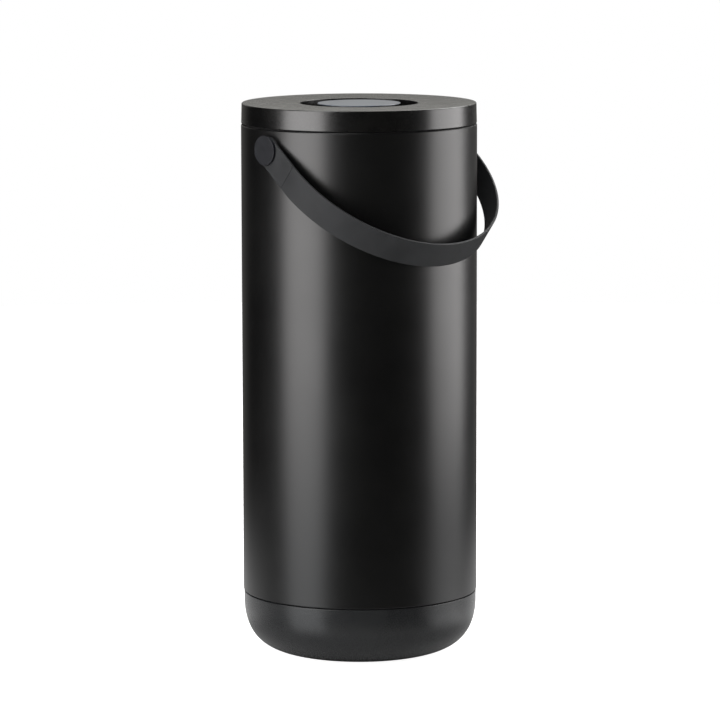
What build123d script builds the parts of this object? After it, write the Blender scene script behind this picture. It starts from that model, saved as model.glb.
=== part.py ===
from build123d import *
from math import acos, atan, cos, degrees, radians, sin, sqrt
import os

# A tall round kitchen trash can: a painted steel tube on a moulded round base,
# with a lift-off lid that is gripped by a sunk knob, and a carry strap that
# swings on two side pins. All sizes are in millimetres. The origin is on the
# floor at the centre of the can, +Z is up and the strap hangs on the -Y side.

# Overall
total_height = 589.0
shell_radius = 125.0
base_height = 67.2
lid_height = 21.2

# Play between pieces
fit_clearance = 0.1
seat_clearance = 0.3

# Steel tube with both edges turned in
shell_wall = 1.0
hem_width = 3.6
bend_radius = 1.2

# Moulded base, a little narrower than the tube, its top coned to leave a shadow gap
base_inset = 0.6
base_flat_radius = 63.6
base_straight = 3.4
base_wall = 3.0
corner_fullness = 0.679
base_edge_round = 0.5
seam_gap = 1.3
seam_depth = 2.0
spigot_wall = 2.3
spigot_height = 9.0
slot_count = 12
slot_width = 7.0

# Rubber pad, set in a recess under the base
foot_margin = 3.6
foot_height = 0.8
foot_sunk = 1.4
foot_chamfer = 0.3

# Snap beads of the base and of the collar
bead_reach = 1.2
bead_land = 1.0
bead_ramp = 1.6

# Collar in the mouth of the tube
collar_lip = 1.3
collar_lip_inset = 2.2
collar_lip_slope = 1.2
collar_wall = 2.0
collar_mouth_depth = 10.5
collar_step = 3.2
collar_depth = 40.0
collar_edge_round = 0.6

# Ring that holds the bag, hung on the collar's step
bag_ring_wall = 2.0
bag_ring_flange = 1.8
bag_ring_depth = 18.0
bag_ring_play = 0.5
bag_space = 2.0
notch_radius = 13.0
notch_depth = 6.0

# Lid, a little narrower than the tube, its top sunk a little towards the well
lid_inset = 0.7
lid_draft = 0.5
lid_dish = 0.6
lid_wall = 2.2
skirt_wall = 2.5
lid_edge_round = 1.3
lid_rim_round = 0.3
well_radius = 62.6
well_depth = 20.0
well_round = 3.0
well_edge_round = 0.5

# Knob in the well, with a disc let into its top whose lip covers the knob's rim
knob_radius = 44.0
knob_wall = 2.5
knob_rim = 1.3
disc_thickness = 1.6
disc_lip = 0.9
disc_edge_round = 0.7
knob_boss_radius = 4.5
knob_screw_circle = 30.0
knob_screw_count = 3

# Cover under the lid, with a seal round its plug
plug_depth = 7.5
plug_wall = 3.4
plug_floor = 2.0
plug_edge_round = 0.8
cover_flange = 2.0
cover_boss_radius = 4.0
cover_screw_circle = 92.0
cover_screw_count = 6
seal_height = 2.4
seal_sunk = 1.4
seal_body = 1.7
seal_round = 0.9

# Small screws of the lid
lid_screw_radius = 1.4
lid_screw_length = 9.0
lid_screw_head_radius = 3.2
lid_screw_head = 2.2

# Side pins that the strap swings on
pivot_below_top = 43.5
pin_head_radius = 15.6
pin_head = 2.6
pin_head_round = 0.6
pin_mark_radius = 0.9
pin_mark_depth = 0.3
journal_radius = 8.0
shank_radius = 4.0
spacer_radius = 14.0
spacer_height = 2.6
plate_width = 26.0
plate_height = 30.0
plate_thickness = 1.5
plate_corner = 5.0
pin_screw_radius = 2.0
pin_screw_length = 9.0
pin_screw_head_radius = 7.0
pin_screw_head = 2.6

# Strap: two stiff ends and a curved band between them
strap_width = 31.0
strap_eye_width = 30.4
strap_thickness = 2.4
strap_leg = 44.2
strap_end_length = 42.0
strap_edge_round = 0.45
joint_groove_width = 1.0
joint_groove_depth = 0.4
tongue_length = 13.0
tongue_width = 20.0
tongue_thickness = 1.0

# Edges, hexagon sockets and pilot holes of all screws
screw_round = 0.5
socket_share = 0.5
socket_depth_share = 0.55
pilot_spare = 0.6

# Levels and radii that follow from the sizes above
base_radius = shell_radius - base_inset
foot_radius = base_flat_radius - foot_margin
lid_radius = shell_radius - lid_inset
foot_top = foot_height + foot_sunk
floor_top = foot_height + base_wall

lid_bottom = total_height - lid_height
collar_top = lid_bottom - seat_clearance
shell_top = collar_top - collar_lip
shell_inner = shell_radius - shell_wall
hem_radius = shell_radius - hem_width
neck_radius = hem_radius - fit_clearance
bead_radius = neck_radius + bead_reach

spigot_inner = neck_radius - spigot_wall
spigot_top = base_height + spigot_height
base_inner = base_radius - base_wall
spigot_root = base_height - base_wall
seam_low = base_height - seam_gap
seam_radius = base_radius - seam_depth
spigot_slope = base_inner - spigot_inner
base_corner_top = spigot_root - spigot_slope - base_straight
base_corner_height = base_corner_top - foot_height
slot_reach = 2 * (spigot_wall + bead_reach)

collar_inner = neck_radius - collar_wall
collar_lip_radius = shell_radius - collar_lip_inset
ledge_z = collar_top - collar_mouth_depth
collar_low_inner = collar_inner - collar_step
collar_low_outer = collar_low_inner + collar_wall
collar_bottom = collar_top - collar_depth

bag_flange_radius = collar_inner - bag_ring_play
bag_ring_outer = collar_low_inner - bag_space
bag_ring_inner = bag_ring_outer - bag_ring_wall
bag_flange_bottom = ledge_z + seat_clearance
bag_flange_top = bag_flange_bottom + bag_ring_flange
bag_ring_bottom = bag_flange_top - bag_ring_depth

inner_top = total_height - lid_dish
lid_underside = inner_top - lid_wall
skirt_inner = lid_radius - skirt_wall
well_floor = total_height - well_depth
well_underside = well_floor - lid_wall
well_outer = well_radius + lid_wall

pocket_radius = knob_radius - knob_rim
pocket_floor = inner_top - disc_thickness
rim_top = inner_top - disc_lip
disc_neck_radius = pocket_radius - fit_clearance
knob_inner = knob_radius - knob_wall
knob_ceiling = pocket_floor - knob_wall

plug_bottom = collar_top - plug_depth
plug_top_floor = plug_bottom + plug_floor
seal_radius = collar_inner - seat_clearance
plug_radius = seal_radius - seal_body
seal_bottom = (plug_bottom + lid_bottom - seal_height) / 2
seal_top = seal_bottom + seal_height
seal_groove_radius = plug_radius - seal_sunk

pivot_z = total_height - pivot_below_top
spacer_face = shell_radius + spacer_height
strap_inner = spacer_face + seat_clearance
strap_outer = strap_inner + strap_thickness
head_face = strap_outer + seat_clearance
pin_face = head_face + pin_head
plate_outer = shell_inner - fit_clearance
plate_inner = plate_outer - plate_thickness
screw_seat = sqrt(plate_inner**2 - pin_screw_head_radius**2) - fit_clearance
shank_end = screw_seat + fit_clearance

# The strap leans on the tube with the lower inner edge of its middle. Its
# plane hangs below the horizontal by the angle at which that edge is clear.
half_width = strap_width / 2
strap_reach = strap_leg + strap_inner
rest_radius = shell_radius + seat_clearance
edge_reach = sqrt(strap_reach**2 + half_width**2)
strap_angle = degrees(acos(rest_radius / edge_reach) - atan(half_width / strap_reach))
strap_sin = sin(radians(strap_angle))
strap_cos = cos(radians(strap_angle))

along_strap = (0, -strap_cos, -strap_sin)
across_strap = (0, strap_sin, -strap_cos)
strap_plane = Plane((0, 0, pivot_z), x_dir=(1, 0, 0), z_dir=across_strap)
strap_side = Plane((strap_inner, 0, pivot_z), x_dir=along_strap, z_dir=(1, 0, 0))
strap_right_face = Plane((strap_outer, 0, pivot_z), x_dir=along_strap, z_dir=(1, 0, 0))
strap_left_face = Plane((-strap_outer, 0, pivot_z), x_dir=along_strap, z_dir=(-1, 0, 0))


def side_plane(x):
    """Plane square to the pins' axis, its origin on that axis."""
    return Plane((x, 0, pivot_z), x_dir=(0, 1, 0), z_dir=(1, 0, 0))


def round_corner(point, radius):
    """Round the corner of the open sketch that is nearest to the point."""
    fillet(vertices().sort_by_distance(point)[0], radius)


def screw(radius, length, head_radius, head_height):
    """Screw with its shank up the Z axis, the head's seat at height 0."""
    with BuildPart() as blank:
        with BuildSketch():
            Circle(head_radius)
        extrude(amount=-head_height)
        fillet(edges().sort_by(Axis.Z)[0], screw_round)
        with BuildSketch():
            Circle(radius)
        extrude(amount=length)
        with BuildSketch(Plane.XY.offset(-head_height)):
            RegularPolygon(head_radius * socket_share, 6)
        extrude(amount=head_height * socket_depth_share, mode=Mode.SUBTRACT)
    return blank.part


os.makedirs("parts", exist_ok=True)

# Steel tube, both edges turned in, with a hole for each pin
with BuildPart() as body_shell:
    with BuildSketch(Plane.XZ):
        Polygon(
            (hem_radius, base_height),
            (shell_radius, base_height),
            (shell_radius, shell_top),
            (hem_radius, shell_top),
            (hem_radius, shell_top - shell_wall),
            (shell_inner, shell_top - shell_wall),
            (shell_inner, base_height + shell_wall),
            (hem_radius, base_height + shell_wall),
        )
        fillet(vertices().group_by(Axis.X)[1], bend_radius - shell_wall)
        fillet(vertices().group_by(Axis.X)[-1], bend_radius)
    revolve(axis=Axis.Z)
    with BuildSketch(side_plane(0)):
        Circle(shank_radius + fit_clearance)
    extrude(amount=shell_radius, both=True, mode=Mode.SUBTRACT)
body_shell.part.label = "body_shell"
export_step(body_shell.part, "parts/body_shell.step")

# Moulded base: round corner, flange under the tube and a slotted snap spigot
with BuildPart() as base_cup:
    with BuildSketch(Plane.XZ):
        with BuildLine():
            Polyline(
                (0, foot_top),
                (foot_radius + fit_clearance, foot_top),
                (foot_radius + fit_clearance, foot_height),
                (base_flat_radius, foot_height),
            )
            Bezier(
                (base_flat_radius, foot_height),
                (base_flat_radius + corner_fullness * (base_radius - base_flat_radius), foot_height),
                (base_radius, base_corner_top - corner_fullness * base_corner_height),
                (base_radius, base_corner_top),
            )
            Polyline(
                (base_radius, base_corner_top),
                (base_radius, seam_low),
                (seam_radius, base_height),
                (neck_radius, base_height),
                (neck_radius, base_height + shell_wall + fit_clearance),
                (bead_radius, base_height + shell_wall + fit_clearance),
                (bead_radius, base_height + shell_wall + fit_clearance + bead_land),
                (neck_radius, base_height + shell_wall + fit_clearance + bead_land + bead_ramp),
                (neck_radius, spigot_top),
                (spigot_inner, spigot_top),
                (spigot_inner, spigot_root),
                (base_inner, spigot_root - spigot_slope),
                (base_inner, base_corner_top),
            )
            Bezier(
                (base_inner, base_corner_top),
                (base_inner, base_corner_top - corner_fullness * (base_corner_top - floor_top)),
                (base_flat_radius + corner_fullness * (base_inner - base_flat_radius), floor_top),
                (base_flat_radius, floor_top),
            )
            Polyline((base_flat_radius, floor_top), (0, floor_top), (0, foot_top))
        make_face()
        round_corner((base_radius, seam_low), base_edge_round)
    revolve(axis=Axis.Z)
    with BuildSketch(Plane.XY.offset(base_height)):
        with PolarLocations(neck_radius, slot_count):
            Rectangle(slot_reach, slot_width)
    extrude(amount=spigot_height, mode=Mode.SUBTRACT)
base_cup.part.label = "base_cup"
export_step(base_cup.part, "parts/base_cup.step")

# Rubber pad that the can stands on
with BuildPart() as foot_pad:
    with BuildSketch():
        Circle(foot_radius)
    extrude(amount=foot_top)
    chamfer(edges().sort_by(Axis.Z)[0], foot_chamfer)
foot_pad.part.label = "foot_pad"
export_step(foot_pad.part, "parts/foot_pad.step")

# Collar: lip on the tube's turned-in edge, snap bead below it, step for the bag
with BuildPart() as rim_collar:
    collar_bead_top = shell_top - shell_wall - fit_clearance
    with BuildSketch(Plane.XZ):
        Polygon(
            (collar_inner, collar_top),
            (collar_lip_radius - collar_lip_slope, collar_top),
            (collar_lip_radius, shell_top),
            (neck_radius, shell_top),
            (neck_radius, collar_bead_top),
            (bead_radius, collar_bead_top),
            (bead_radius, collar_bead_top - bead_land),
            (neck_radius, collar_bead_top - bead_land - bead_ramp),
            (neck_radius, ledge_z - collar_wall),
            (collar_low_outer, ledge_z - collar_wall),
            (collar_low_outer, collar_bottom),
            (collar_low_inner, collar_bottom),
            (collar_low_inner, ledge_z),
            (collar_inner, ledge_z),
        )
        round_corner((collar_inner, collar_top), collar_edge_round)
        round_corner((collar_low_inner, ledge_z), collar_edge_round)
        round_corner((collar_low_inner, collar_bottom), collar_edge_round)
    revolve(axis=Axis.Z)
rim_collar.part.label = "rim_collar"
export_step(rim_collar.part, "parts/rim_collar.step")

# Bag ring, with a finger notch at the front and at the back
with BuildPart() as bag_ring:
    with BuildSketch(Plane.XZ):
        Polygon(
            (bag_ring_inner, bag_flange_top),
            (bag_flange_radius, bag_flange_top),
            (bag_flange_radius, bag_flange_bottom),
            (bag_ring_outer, bag_flange_bottom),
            (bag_ring_outer, bag_ring_bottom),
            (bag_ring_inner, bag_ring_bottom),
        )
        round_corner((bag_ring_inner, bag_flange_top), bag_ring_flange / 2)
        round_corner((bag_ring_outer, bag_ring_bottom), bag_ring_wall / 3)
        round_corner((bag_ring_inner, bag_ring_bottom), bag_ring_wall / 3)
    revolve(axis=Axis.Z)
    with BuildSketch(Plane.XZ.offset(-bag_flange_radius)):
        with Locations((0, bag_flange_top + notch_radius - notch_depth)):
            Circle(notch_radius)
    extrude(amount=2 * bag_flange_radius, mode=Mode.SUBTRACT)
bag_ring.part.label = "bag_ring"
export_step(bag_ring.part, "parts/bag_ring.step")

# Lid: short skirt, sunk round well, bosses for the cover's screws
with BuildPart() as lid_top:
    with BuildSketch(Plane.XZ):
        Polygon(
            (0, well_floor),
            (well_radius, well_floor),
            (well_radius, inner_top),
            (lid_radius, total_height),
            (lid_radius + lid_draft, lid_bottom),
            (skirt_inner, lid_bottom),
            (skirt_inner, lid_underside),
            (well_outer, lid_underside),
            (well_outer, well_underside),
            (0, well_underside),
        )
        round_corner((well_radius, well_floor), well_round)
        round_corner((well_outer, well_underside), well_round + lid_wall)
        round_corner((well_radius, inner_top), well_edge_round)
        round_corner((lid_radius, total_height), lid_edge_round)
        round_corner((lid_radius + lid_draft, lid_bottom), lid_rim_round)
    revolve(axis=Axis.Z)
    with BuildSketch(Plane.XY.offset(plug_top_floor)):
        with PolarLocations(cover_screw_circle, cover_screw_count):
            Circle(cover_boss_radius)
    extrude(amount=lid_underside - plug_top_floor)
    with BuildSketch(Plane.XY.offset(plug_top_floor)):
        with PolarLocations(cover_screw_circle, cover_screw_count):
            Circle(lid_screw_radius + fit_clearance)
    extrude(amount=lid_screw_length - plug_floor + pilot_spare, mode=Mode.SUBTRACT)
    with BuildSketch(Plane.XY.offset(well_underside)):
        with PolarLocations(knob_screw_circle, knob_screw_count):
            Circle(lid_screw_radius + fit_clearance)
    extrude(amount=lid_wall, mode=Mode.SUBTRACT)
lid_top.part.label = "lid_top"
export_step(lid_top.part, "parts/lid_top.step")

# Hollow knob with a pocket for the disc and three screw bosses
with BuildPart() as lid_knob:
    with BuildSketch(Plane.XZ):
        Polygon(
            (0, pocket_floor),
            (pocket_radius, pocket_floor),
            (pocket_radius, rim_top),
            (knob_radius, rim_top),
            (knob_radius, well_floor),
            (knob_inner, well_floor),
            (knob_inner, knob_ceiling),
            (0, knob_ceiling),
        )
    revolve(axis=Axis.Z)
    with BuildSketch(Plane.XY.offset(well_floor)):
        with PolarLocations(knob_screw_circle, knob_screw_count):
            Circle(knob_boss_radius)
    extrude(amount=knob_ceiling - well_floor)
    with BuildSketch(Plane.XY.offset(well_floor)):
        with PolarLocations(knob_screw_circle, knob_screw_count):
            Circle(lid_screw_radius + fit_clearance)
    extrude(amount=lid_screw_length - lid_wall + pilot_spare, mode=Mode.SUBTRACT)
lid_knob.part.label = "lid_knob"
export_step(lid_knob.part, "parts/lid_knob.step")

# Disc let into the knob, its top level with the edge of the well
with BuildPart() as knob_disc:
    with BuildSketch(Plane.XZ):
        Polygon(
            (0, pocket_floor),
            (disc_neck_radius, pocket_floor),
            (disc_neck_radius, rim_top),
            (knob_radius, rim_top),
            (knob_radius, inner_top),
            (0, inner_top),
        )
        round_corner((knob_radius, inner_top), disc_edge_round)
    revolve(axis=Axis.Z)
knob_disc.part.label = "knob_disc"
export_step(knob_disc.part, "parts/knob_disc.step")

# Cover that closes the lid from below, with a plug that centres the lid
with BuildPart() as lid_cover:
    with BuildSketch(Plane.XZ):
        Polygon(
            (0, plug_bottom),
            (plug_radius, plug_bottom),
            (plug_radius, seal_bottom),
            (seal_groove_radius, seal_bottom),
            (seal_groove_radius, seal_top),
            (plug_radius, seal_top),
            (plug_radius, lid_bottom),
            (skirt_inner - fit_clearance, lid_bottom),
            (skirt_inner - fit_clearance, lid_bottom + cover_flange),
            (plug_radius - plug_wall, lid_bottom + cover_flange),
            (plug_radius - plug_wall, plug_top_floor),
            (0, plug_top_floor),
        )
        round_corner((plug_radius, plug_bottom), plug_edge_round)
    revolve(axis=Axis.Z)
    with BuildSketch(Plane.XY.offset(plug_bottom)):
        with PolarLocations(cover_screw_circle, cover_screw_count):
            Circle(lid_screw_radius + fit_clearance)
    extrude(amount=plug_floor, mode=Mode.SUBTRACT)
lid_cover.part.label = "lid_cover"
export_step(lid_cover.part, "parts/lid_cover.step")

# Rubber ring in the plug's groove
with BuildPart() as lid_seal:
    with BuildSketch(Plane.XZ):
        Polygon(
            (seal_groove_radius + fit_clearance, seal_bottom + fit_clearance),
            (seal_radius, seal_bottom + fit_clearance),
            (seal_radius, seal_top - fit_clearance),
            (seal_groove_radius + fit_clearance, seal_top - fit_clearance),
        )
        fillet(vertices().group_by(Axis.X)[-1], seal_round)
    revolve(axis=Axis.Z)
lid_seal.part.label = "lid_seal"
export_step(lid_seal.part, "parts/lid_seal.step")

lid_screw = screw(lid_screw_radius, lid_screw_length, lid_screw_head_radius, lid_screw_head)
pin_screw = screw(pin_screw_radius, pin_screw_length, pin_screw_head_radius, pin_screw_head)

# Three screws from below the well into the knob
with BuildPart() as knob_screws:
    with Locations((0, 0, well_underside)):
        with PolarLocations(knob_screw_circle, knob_screw_count):
            add(lid_screw)
knob_screws.part.label = "knob_screws"
export_step(knob_screws.part, "parts/knob_screws.step")

# Six screws from below the cover into the lid
with BuildPart() as cover_screws:
    with Locations((0, 0, plug_bottom)):
        with PolarLocations(cover_screw_circle, cover_screw_count):
            add(lid_screw)
cover_screws.part.label = "cover_screws"
export_step(cover_screws.part, "parts/cover_screws.step")

# Pin: flat head, journal for the strap's eye, shank with a pilot hole
with BuildPart() as right_pivot_pin:
    with BuildSketch(side_plane(shank_end)):
        Circle(shank_radius)
    extrude(amount=spacer_face - shank_end)
    with BuildSketch(side_plane(spacer_face)):
        Circle(journal_radius)
    extrude(amount=head_face - spacer_face)
    with BuildSketch(side_plane(head_face)):
        Circle(pin_head_radius)
    extrude(amount=pin_head)
    fillet(faces().sort_by(Axis.X)[-1].edges(), pin_head_round)
    with BuildSketch(side_plane(pin_face)):
        Circle(pin_mark_radius)
    extrude(amount=-pin_mark_depth, mode=Mode.SUBTRACT)
    with BuildSketch(side_plane(shank_end)):
        Circle(pin_screw_radius + fit_clearance)
    extrude(amount=pin_screw_length - fit_clearance + pilot_spare, mode=Mode.SUBTRACT)
right_pivot_pin.part.label = "right_pivot_pin"
export_step(right_pivot_pin.part, "parts/right_pivot_pin.step")

with BuildPart() as left_pivot_pin:
    mirror(right_pivot_pin.part, about=Plane.YZ)
left_pivot_pin.part.label = "left_pivot_pin"
export_step(left_pivot_pin.part, "parts/left_pivot_pin.step")

# Spacer between the tube and the strap, its inner side bent to the tube
with BuildPart() as right_pin_spacer:
    with BuildSketch(side_plane(shell_inner)):
        Circle(spacer_radius)
        Circle(shank_radius + fit_clearance, mode=Mode.SUBTRACT)
    extrude(amount=spacer_face - shell_inner)
    with BuildSketch(Plane.XY.offset(pivot_z - 2 * spacer_radius)):
        Circle(shell_radius)
    extrude(amount=4 * spacer_radius, mode=Mode.SUBTRACT)
right_pin_spacer.part.label = "right_pin_spacer"
export_step(right_pin_spacer.part, "parts/right_pin_spacer.step")

with BuildPart() as left_pin_spacer:
    mirror(right_pin_spacer.part, about=Plane.YZ)
left_pin_spacer.part.label = "left_pin_spacer"
export_step(left_pin_spacer.part, "parts/left_pin_spacer.step")

# Bent plate inside the tube that spreads the pin's load
with BuildPart() as right_backing_plate:
    with BuildSketch(Plane.XY.offset(pivot_z - plate_height / 2)):
        Circle(plate_outer)
        Circle(plate_inner, mode=Mode.SUBTRACT)
    extrude(amount=plate_height)
    with BuildSketch(side_plane(0)):
        RectangleRounded(plate_width, plate_height, plate_corner)
        Circle(shank_radius + fit_clearance, mode=Mode.SUBTRACT)
    extrude(amount=shell_radius, mode=Mode.INTERSECT)
right_backing_plate.part.label = "right_backing_plate"
export_step(right_backing_plate.part, "parts/right_backing_plate.step")

with BuildPart() as left_backing_plate:
    mirror(right_backing_plate.part, about=Plane.YZ)
left_backing_plate.part.label = "left_backing_plate"
export_step(left_backing_plate.part, "parts/left_backing_plate.step")

# Screw from inside the tube into the pin
with BuildPart() as right_pin_screw:
    with Locations(side_plane(screw_seat).location):
        add(pin_screw)
right_pin_screw.part.label = "right_pin_screw"
export_step(right_pin_screw.part, "parts/right_pin_screw.step")

with BuildPart() as left_pin_screw:
    mirror(right_pin_screw.part, about=Plane.YZ)
left_pin_screw.part.label = "left_pin_screw"
export_step(left_pin_screw.part, "parts/left_pin_screw.step")

# Stiff end of the strap: an eye for the pin, a slot for the band's tongue and
# half of the shallow groove that runs across the strap at the joint
with BuildPart() as right_strap_end:
    end_axis = Axis(strap_side.origin, strap_side.x_dir)
    with BuildSketch(strap_side):
        with BuildLine():
            Polyline(
                (0, -strap_eye_width / 2),
                (strap_end_length, -half_width),
                (strap_end_length, half_width),
                (0, strap_eye_width / 2),
            )
            CenterArc((0, 0), strap_eye_width / 2, 90, 180)
        make_face()
    extrude(amount=strap_thickness)
    side_edges = edges().filter_by(Axis.X, reverse=True)
    fillet(side_edges.sort_by(end_axis)[:-2], strap_edge_round)
    with BuildSketch(strap_side):
        Circle(journal_radius + fit_clearance)
    extrude(amount=strap_thickness, mode=Mode.SUBTRACT)
    tongue_slot = strap_side.offset((strap_thickness - tongue_thickness) / 2 - fit_clearance)
    with BuildSketch(tongue_slot):
        with Locations((strap_end_length, 0)):
            Rectangle(2 * (tongue_length + fit_clearance), tongue_width + 2 * fit_clearance)
    extrude(amount=tongue_thickness + 2 * fit_clearance, mode=Mode.SUBTRACT)
    with BuildSketch(strap_right_face):
        with Locations((strap_end_length, 0)):
            Rectangle(joint_groove_width, 2 * strap_width)
    extrude(amount=-joint_groove_depth, mode=Mode.SUBTRACT)
right_strap_end.part.label = "right_strap_end"
export_step(right_strap_end.part, "parts/right_strap_end.step")

with BuildPart() as left_strap_end:
    mirror(right_strap_end.part, about=Plane.YZ)
left_strap_end.part.label = "left_strap_end"
export_step(left_strap_end.part, "parts/left_strap_end.step")

# Curved band of the strap, with a tongue in each stiff end
with BuildPart() as strap_band:
    band_start = strap_end_length
    width_axis = Axis(strap_plane.origin, strap_plane.z_dir)
    with BuildSketch(strap_plane):
        with BuildLine():
            Line((strap_outer, band_start), (strap_outer, strap_leg))
            CenterArc((0, strap_leg), strap_outer, 0, 180)
            Line((-strap_outer, strap_leg), (-strap_outer, band_start))
            Line((-strap_outer, band_start), (-strap_inner, band_start))
            Line((-strap_inner, band_start), (-strap_inner, strap_leg))
            CenterArc((0, strap_leg), strap_inner, 0, 180)
            Line((strap_inner, strap_leg), (strap_inner, band_start))
            Line((strap_inner, band_start), (strap_outer, band_start))
        make_face()
    extrude(amount=half_width, both=True)
    band_sides = faces().sort_by(width_axis)
    long_edges = band_sides[0].edges() + band_sides[-1].edges()
    fillet(long_edges.filter_by(Axis.X, reverse=True), strap_edge_round)
    with BuildSketch(strap_plane):
        with Locations(
            (strap_inner + strap_thickness / 2, band_start - tongue_length / 2),
            (-strap_inner - strap_thickness / 2, band_start - tongue_length / 2),
        ):
            Rectangle(tongue_thickness, tongue_length)
    extrude(amount=tongue_width / 2, both=True)
    with BuildSketch(strap_right_face, strap_left_face):
        with Locations((strap_end_length, 0)):
            Rectangle(joint_groove_width, 2 * strap_width)
    extrude(amount=-joint_groove_depth, mode=Mode.SUBTRACT)
strap_band.part.label = "strap_band"
export_step(strap_band.part, "parts/strap_band.step")

print("strap plane below the horizontal, degrees", round(strap_angle, 3))
print("strap's swing from rest to rest, degrees", round(180 + 2 * strap_angle, 3))
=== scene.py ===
from math import cos, pi, radians, sin

import bpy
import numpy as np
from mathutils import Matrix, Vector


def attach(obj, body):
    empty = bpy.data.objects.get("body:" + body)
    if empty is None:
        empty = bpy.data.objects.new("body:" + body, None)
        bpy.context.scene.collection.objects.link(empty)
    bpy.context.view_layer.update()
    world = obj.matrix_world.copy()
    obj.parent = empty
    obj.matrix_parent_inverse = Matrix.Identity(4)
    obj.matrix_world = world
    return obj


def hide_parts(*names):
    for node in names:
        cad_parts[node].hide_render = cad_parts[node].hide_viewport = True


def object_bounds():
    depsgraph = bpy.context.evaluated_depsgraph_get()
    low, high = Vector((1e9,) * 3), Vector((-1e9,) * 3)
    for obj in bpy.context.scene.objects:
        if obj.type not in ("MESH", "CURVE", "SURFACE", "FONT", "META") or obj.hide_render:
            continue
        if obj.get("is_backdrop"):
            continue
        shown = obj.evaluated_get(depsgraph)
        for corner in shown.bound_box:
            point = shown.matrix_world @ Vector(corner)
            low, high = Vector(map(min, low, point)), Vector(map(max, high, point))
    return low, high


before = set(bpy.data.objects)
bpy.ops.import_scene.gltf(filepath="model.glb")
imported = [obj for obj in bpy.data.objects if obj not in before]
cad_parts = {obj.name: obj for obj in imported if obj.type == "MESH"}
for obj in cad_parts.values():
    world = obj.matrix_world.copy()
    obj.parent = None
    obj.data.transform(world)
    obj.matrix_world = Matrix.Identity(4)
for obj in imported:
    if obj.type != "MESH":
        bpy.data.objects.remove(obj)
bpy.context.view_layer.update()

mm = 0.001  # the sizes below are in millimetres, Blender's are in metres
tiny = 1e-9  # keeps a division from 0 / 0
play = 0.1  # between pieces that snap together
# roundings of small edges
sharpEdge, fineEdge, smallEdge, softEdge = 0.1, 0.15, 0.2, 0.3

# Camera, fitted to the photograph's outlines
viewpoint = {
    "azimuth": -42.0,  # seen from, 0 looks along +Y
    "distance": 4.3944,
    "height": 0.928,
    "pitch": 7.962,  # degrees down
    "roll": -0.129,
    "aside": 0.466,  # mm to the right of the can's axis
    "lens": 207.885,
    "sensor": 36.0,
    "farEnd": 100.0,
}
turn = radians(viewpoint["azimuth"])
aside = viewpoint["aside"] * mm
place = (
    viewpoint["distance"] * sin(turn) + aside * cos(turn),
    -viewpoint["distance"] * cos(turn) + aside * sin(turn),
    viewpoint["height"],
)
cameraData = bpy.data.cameras.new("photoCamera")
cameraData.lens = viewpoint["lens"]
cameraData.sensor_width = viewpoint["sensor"]
cameraData.clip_end = viewpoint["farEnd"]
camera = bpy.data.objects.new("photoCamera", cameraData)
camera.matrix_world = (
    Matrix.Translation(place)
    @ Matrix.Rotation(turn, 4, "Z")
    @ Matrix.Rotation(radians(90 - viewpoint["pitch"]), 4, "X")
    @ Matrix.Rotation(radians(viewpoint["roll"]), 4, "Z")
)
bpy.context.scene.collection.objects.link(camera)
bpy.context.scene.camera = camera
print("camera stands")


# Surfaces. Each is a grid of points with a normal at every point, worked out as whole arrays.

def roundedPath(corners, closed=True, steps=6):
    # Corner (x, y, rounding) becomes an arc that touches both sides: it starts and ends
    # rounding / tan(half the corner) away, its centre is rounding / sin(half) up the bisector.
    c = np.array(corners, float)
    p, rounding = c[:, :2], c[:, 2]
    a, b = np.roll(p, 1, 0) - p, np.roll(p, -1, 0) - p
    a /= np.linalg.norm(a, axis=1, keepdims=True)
    b /= np.linalg.norm(b, axis=1, keepdims=True)
    half = np.arccos(np.clip((a * b).sum(1), -1, 1)) / 2
    bisector = (a + b) / np.maximum(np.linalg.norm(a + b, axis=1, keepdims=True), tiny)
    centre = p + bisector * (rounding / np.sin(half))[:, None]
    reach = (rounding / np.tan(half))[:, None]
    spokeA, spokeB = p + a * reach - centre, p + b * reach - centre
    swing = np.maximum(pi - 2 * half, tiny)[:, None]
    s = np.linspace(0, 1, steps + 1)[None]
    arcs = (
        centre[:, None]
        + (np.sin((1 - s) * swing) / np.sin(swing))[..., None] * spokeA[:, None]
        + (np.sin(s * swing) / np.sin(swing))[..., None] * spokeB[:, None]
    )
    if closed:
        return arcs.reshape(-1, 2)
    return np.vstack([p[:1], arcs[1:-1].reshape(-1, 2), p[-1:]])


def pathNormals(path, closed=True):
    # The normal stands square to the line from the point before to the point after, so long
    # straight runs keep it and only the arcs turn it. Paths run anticlockwise.
    if closed:
        along = np.roll(path, -1, 0) - np.roll(path, 1, 0)
    else:
        along = np.gradient(path, axis=0)
        along[1:-1] = path[2:] - path[:-2]
    n = np.stack([along[:, 1], -along[:, 0]], 1)
    return n / np.linalg.norm(n, axis=1, keepdims=True)


def turned(profile, closed=True, count=288):
    # Profile (r, h) turned round the h axis: (r cos a, r sin a, h), and its normal with it.
    # An open profile starts in a pole that faces down the axis and ends in one that faces up it.
    n = pathNormals(profile, closed)
    if not closed:
        n[0], n[-1] = (0, -1), (0, 1)
    a = np.linspace(0, 2 * pi, count, endpoint=False)[None]

    def spin(v):
        return np.stack([v[:, :1] * np.cos(a), v[:, :1] * np.sin(a), v[:, 1:] + 0 * a], -1)

    return spin(profile), spin(n)


def sideways(grid, side, lift):
    # Lays a turned grid on its side: its h axis becomes +X (side 1) or -X (side -1), raised by lift.
    return np.stack([side * grid[..., 2], side * grid[..., 0], grid[..., 1] + lift], -1)


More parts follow.
